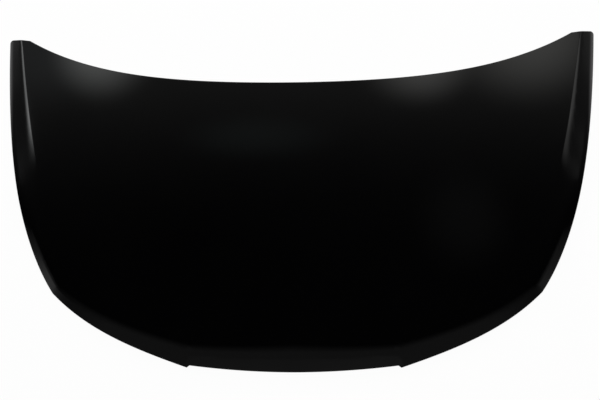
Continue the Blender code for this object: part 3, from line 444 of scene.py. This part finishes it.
def rim_place(station, inset):
    """Plan place of a station when the rim is drawn in by inset, and its outward direction."""
    kind, along, side = station
    if kind == "wing":
        step_in = min(max((tab_along - along) / TAB_RUN, 0.0), 1.0)
        inset += TAB_STEP * max(0.0, 1 - inset / NOSE_ROLL) * step_in
        free = wing.length / 2
        along -= inset * ear_mitre * max(0.0, (along - free) / (wing.length - free))
        out = wing.outward(along)
        place = wing.at(along) - out * inset
    elif kind == "tail":
        along += inset * ear_mitre * max(0.0, 1 - along / ear_inner_along)
        out = tail.outward(along)
        place = tail.at(along) - out * inset
    else:
        first, second = wing.outward(wing.length - EAR_ROUND), tail.outward(EAR_ROUND)
        radius = max(EAR_ROUND - inset, LEAST_ROUND)
        centre = EAR - (first + second).normalized() * (inset + radius) / math.cos(ear_turn / 2)
        angle = ear_turn * along
        out = Vector((first.x * math.cos(angle) - first.y * math.sin(angle),
                      first.x * math.sin(angle) + first.y * math.cos(angle)))
        place = centre + out * radius
    return Vector((side * place.x, place.y)), Vector((side * out.x, out.y))


half = half_stations()
rim = [(kind, along, 1) for kind, along in half]
rim += [(kind, along, -1) for kind, along in reversed(half[1:-1])]
count = len(rim)

# Plan points of the skin: rings along the rim, lines along the creases, and an even grid inside
SKIN = 0.0007                  # thickness of the sheet
HEM_RADIUS = 0.0015
RING_INSETS = (HEM_RADIUS, 0.0025, 0.004, 0.006, 0.0085, 0.0115, 0.015)
GRID_STEP = 0.008
GRID_CLEAR = 0.020             # from the rim to the first points of the grid
CREASE_CLEAR = 0.021           # and to the ends of the crease's lines
CREASE_FROM = 0.275            # behind the nose edge, where the crease's lines start
CREASE_SHORT = 0.030           # ahead of the ear tips, where they end
CREASE_ROWS = (-0.02, 0.0, 0.5, 1.0, 1.5, 3.0)   # in widths of the crease's sharp turn
ROW_CLEAR = 0.0035             # from a crease's line to the points of the grid
CELL = 0.004                   # of the table in which points near a line are looked up
REAR_STEP = 0.001              # half the run over which the rear edge's slope is measured
WELD = 1e-7                    # plan points closer than this become one
SLIVER = 1e-12                 # added to an edge's rise, so that a level one divides nothing by zero


def triangles_through(points, loops, lines):
    """Triangles over plan points, none across a loop or a line, kept inside the first loop."""
    edges, start = [], 0
    for loop in loops:
        edges += [(start + k, start + (k + 1) % loop) for k in range(loop)]
        start += loop
    for line in lines:
        edges += [(start + k, start + k + 1) for k in range(line - 1)]
        start += line
    result = geometry.delaunay_2d_cdt([Vector(p) for p in points], edges, [], 0, WELD)
    places, faces, origins = result[0], result[2], result[3]
    outline = np.array(points[:loops[0]])
    before = np.roll(outline, 1, axis=0)
    rise = outline[:, 1] - before[:, 1] + SLIVER
    kept = []
    for face in faces:
        x = sum(places[i].x for i in face) / len(face)
        y = sum(places[i].y for i in face) / len(face)
        spans = (before[:, 1] > y) != (outline[:, 1] > y)
        cross = (outline[:, 0] - before[:, 0]) * (y - before[:, 1]) / rise
        if np.count_nonzero(spans & (x < cross + before[:, 0])) % 2:
            kept.append([min(origins[i]) for i in face])
    return kept


def cell_of(place):
    return int(place[0] // CELL), int(place[1] // CELL)


def clear_of_rows(place):
    i, j = cell_of(place)
    return not any(math.hypot(place[0] - p[0], place[1] - p[1]) < ROW_CLEAR
                   for a in (-1, 0, 1) for b in (-1, 0, 1) for p in row_cells.get((i + a, j + b), ()))


rings = [np.array([tuple(rim_place(station, inset)[0]) for station in rim]) for inset in RING_INSETS]

row_backs = np.arange(CREASE_FROM, LENGTH - CREASE_SHORT, GRID_STEP)
crease_rows = []
for side in (-1, 1):
    for row in CREASE_ROWS:
        row_x = side_x(row_backs) - flank_width(row_backs) * (1 - row * CREASE_SOFT)
        keep = (side_x(row_backs) - row_x > CREASE_CLEAR) & (rear_back(row_x) - row_backs > CREASE_CLEAR)
        crease_rows.append(np.stack([side * row_x, row_backs], 1)[keep])
crease_rows = [row for row in crease_rows if len(row) > 1]
row_cells = {}
for place in np.vstack(crease_rows):
    row_cells.setdefault(cell_of(place), []).append(place)

columns, steps_back = int(HALF_WIDTH / GRID_STEP), int(LENGTH / GRID_STEP)
grid = np.array([(i * GRID_STEP, j * GRID_STEP)
                 for i in range(-columns, columns + 1) for j in range(1, steps_back + 1)])
grid_x, grid_back = np.abs(grid[:, 0]), grid[:, 1]
edge_gap, _, _ = nearest_edge(grid_x, grid_back)
inside = (grid_x < np.interp(grid_back, wing_line[:, 1], wing_line[:, 0])) & (grid_back < rear_back(grid_x))
rear_slope = (rear_back(grid_x + REAR_STEP) - rear_back(grid_x - REAR_STEP)) / (2 * REAR_STEP)
rear_gap = (rear_back(grid_x) - grid_back) / np.hypot(1, rear_slope)
grid = grid[inside & (edge_gap > GRID_CLEAR) & (rear_gap > GRID_CLEAR)]
grid = np.array([place for place in grid if clear_of_rows(place)])

plan = np.vstack(rings + crease_rows + [grid])
skin_faces = triangles_through(plan.tolist(), [len(r) for r in rings], [len(r) for r in crease_rows])
top, top_normals = on_face(plan)

# Hem: half a turn down round the inner panel's edge, then the leg back in under the skin
FOLD_STEPS = 8
HEM_WIDTH = 0.012              # length of the hem's folded-back leg
HEM_AT_EAR = 0.004             # its length where it is cut away round an ear corner
HEM_RELIEF = 0.040             # over which it grows back to full length
LEG_SHARES = (0.35, 0.7, 0.97, 1.0)
CUT_SOFT = 0.00012             # how far the cut edge of the leg is broken on both faces


def hem_reach(station):
    spot = rim_place(station, HEM_RADIUS)[0]
    from_ear = (Vector((abs(spot.x), spot.y)) - EAR).length
    return HEM_AT_EAR + (HEM_WIDTH - HEM_AT_EAR) * float(smooth((from_ear - EAR_ROUND) / HEM_RELIEF))


outer_layers, outer_normals, inner_layers, inner_normals = [], [], [], []
rim_top, rim_up = top[:count], top_normals[:count]
outs = np.array([tuple(rim_place(station, HEM_RADIUS)[1]) + (0.0,) for station in rim])
outs -= rim_up * (outs * rim_up).sum(1)[:, None]
outs /= np.linalg.norm(outs, axis=1)[:, None]
fold_centre = rim_top - rim_up * HEM_RADIUS
for k in range(1, FOLD_STEPS + 1):
    angle = math.pi * k / FOLD_STEPS
    radial = outs * math.sin(angle) + rim_up * math.cos(angle)
    outer_layers.append(fold_centre + radial * HEM_RADIUS)
    inner_layers.append(fold_centre + radial * (HEM_RADIUS - SKIN))
    outer_normals.append(radial)
    inner_normals.append(-radial)
reaches = [hem_reach(station) for station in rim]
for share in LEG_SHARES:
    leg = [tuple(rim_place(station, HEM_RADIUS + reach * share)[0]) for station, reach in zip(rim, reaches)]
    leg_top, leg_up = on_face(leg, 0.0)
    broken = CUT_SOFT if share == 1.0 else 0.0
    outer_layers.append(leg_top - leg_up * (2 * HEM_RADIUS - broken))
    inner_layers.append(leg_top - leg_up * (2 * HEM_RADIUS - SKIN + broken))
    outer_normals.append(-leg_up)
    inner_normals.append(leg_up)

# The sheet: outer face, fold and leg, then the same again for its inner face, joined at the cut edge
points = np.vstack([top] + outer_layers + [top - top_normals * SKIN] + inner_layers)
normals = np.vstack([top_normals] + outer_normals + [-top_normals] + inner_normals)
hem_points = np.vstack(outer_layers)
ground = float(hem_points[:, 2].min())
aft = float((hem_points[:, 1].min() + hem_points[:, 1].max()) / 2)
points -= np.array((0.0, aft, ground))
inner_start = len(top) + count * len(outer_layers)


def face_up(face):
    a, b, c = (plan[i] for i in face[:3])
    turn = (b[0] - a[0]) * (c[1] - a[1]) - (b[1] - a[1]) * (c[0] - a[0])
    return face if turn > 0 else face[::-1]


faces = []
for face in skin_faces:
    face = face_up(face)
    faces.append(face)
    faces.append([inner_start + i for i in reversed(face)])
layer = 0
for following in range(len(top), inner_start, count):
    for k in range(count):
        m = (k + 1) % count
        band = [layer + m, layer + k, following + k, following + m]
        faces.append(band)
        faces.append([inner_start + i for i in reversed(band)])
    layer = following
for k in range(count):
    m = (k + 1) % count
    faces.append([layer + m, layer + k, inner_start + layer + k, inner_start + layer + m])

skin_mesh = bpy.data.meshes.new("outer_skin")
skin_mesh.from_pydata(points.tolist(), [], faces)
skin_mesh.validate()
skin_mesh.shade_smooth()
skin_mesh.normals_split_custom_set_from_vertices(normals.tolist())
skin = bpy.data.objects.new("outer_skin", skin_mesh)
scene.collection.objects.link(skin)


def plain_finish(name):
    finish = bpy.data.materials.new(name)
    finish.use_nodes = True
    return finish


def noise_over(finish, scale, detail=2.0):
    """Noise that is fixed to the piece itself."""
    nodes, links = finish.node_tree.nodes, finish.node_tree.links
    noise = nodes.new("ShaderNodeTexNoise")
    noise.inputs["Scale"].default_value = scale
    noise.inputs["Detail"].default_value = detail
    links.new(nodes.new("ShaderNodeTexCoord").outputs["Object"], noise.inputs["Vector"])
    return noise.outputs["Fac"]


def varied_colour(finish, noise, dark, light, dark_at=0.0, light_at=1.0):
    nodes, links = finish.node_tree.nodes, finish.node_tree.links
    tone = nodes.new("ShaderNodeValToRGB")
    for stop, position, colour in zip(tone.color_ramp.elements, (dark_at, light_at), (dark, light)):
        stop.position = position
        stop.color = colour + (1,)
    links.new(noise, tone.inputs["Fac"])
    links.new(tone.outputs["Color"], nodes["Principled BSDF"].inputs["Base Color"])


def varied_roughness(finish, noise, least, most):
    nodes, links = finish.node_tree.nodes, finish.node_tree.links
    sheen = nodes.new("ShaderNodeMapRange")
    sheen.inputs["To Min"].default_value = least
    sheen.inputs["To Max"].default_value = most
    links.new(noise, sheen.inputs["Value"])
    links.new(sheen.outputs["Result"], nodes["Principled BSDF"].inputs["Roughness"])


def dimpled(finish, noise, strength, depth):
    nodes, links = finish.node_tree.nodes, finish.node_tree.links
    dimple = nodes.new("ShaderNodeBump")
    dimple.inputs["Strength"].default_value = strength
    dimple.inputs["Distance"].default_value = depth
    links.new(noise, dimple.inputs["Height"])
    links.new(dimple.outputs["Normal"], nodes["Principled BSDF"].inputs["Normal"])


def primer_coat(name, dark, light, least_rough, most_rough):
    """Black dip primer: faint clouds in tone and sheen, and a fine peel."""
    coat = plain_finish(name)
    cloud = noise_over(coat, scale=5.0, detail=4.0)
    varied_colour(coat, cloud, dark, light, dark_at=0.3, light_at=0.7)
    varied_roughness(coat, cloud, least_rough, most_rough)
    dimpled(coat, noise_over(coat, scale=420.0), strength=0.03, depth=0.0002)
    return coat


# Painted shade: the skin's black is set far below the primer's own black, so that the skin renders as deep a
# black as it looks under this studio's light.
skin_primer_and_shade = primer_coat("black_primer_and_painted_shade_skin", dark=(0.0006, 0.0006, 0.0007), light=(0.0010, 0.0010, 0.0011),
                          least_rough=0.07, most_rough=0.085)
skin_mesh.materials.append(skin_primer_and_shade)
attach(skin, "root")
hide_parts("outer_panel")


# The inner panel is one pressing held in the hem, and the reinforcing plates are spot-welded in
# its seats. All have the same primer, a little duller where it wasn't levelled. Their solids are
# kept and only get the coat.

underside_primer = primer_coat("black_primer_underside", dark=(0.0040, 0.0040, 0.0042),
                               light=(0.0065, 0.0065, 0.0068), least_rough=0.38, most_rough=0.50)
for name in ("inner_panel", "hinge_plate_left", "hinge_plate_right", "latch_plate", "prop_plate"):
    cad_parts[name].material_slots[0].material = underside_primer


# The weld nuts are flanged M8 steel nuts with a dull zinc plate, welded to the reinforcing
# plates. Their solids are kept and only get the plating.

zinc = plain_finish("zinc_plate")
zinc.node_tree.nodes["Principled BSDF"].inputs["Metallic"].default_value = 1.0
grain = noise_over(zinc, scale=900.0)
varied_colour(zinc, grain, dark=(0.30, 0.29, 0.26), light=(0.55, 0.53, 0.46))
varied_roughness(zinc, grain, least=0.32, most=0.55)
for name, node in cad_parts.items():
    if "_nut_" in name:
        node.material_slots[0].material = zinc


# The mastic pads are soft anti-flutter mastic, squeezed between the window flanges and the skin
# and baked with the primer. Their solids are kept and only get the putty's look.

putty = plain_finish("mastic_putty")
putty.node_tree.nodes["Principled BSDF"].inputs["Roughness"].default_value = 0.85
lump = noise_over(putty, scale=260.0)
varied_colour(putty, lump, dark=(0.030, 0.031, 0.034), light=(0.065, 0.066, 0.070))
dimpled(putty, lump, strength=0.5, depth=0.0006)
for name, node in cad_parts.items():
    if name.startswith("mastic_pad"):
        node.material_slots[0].material = putty
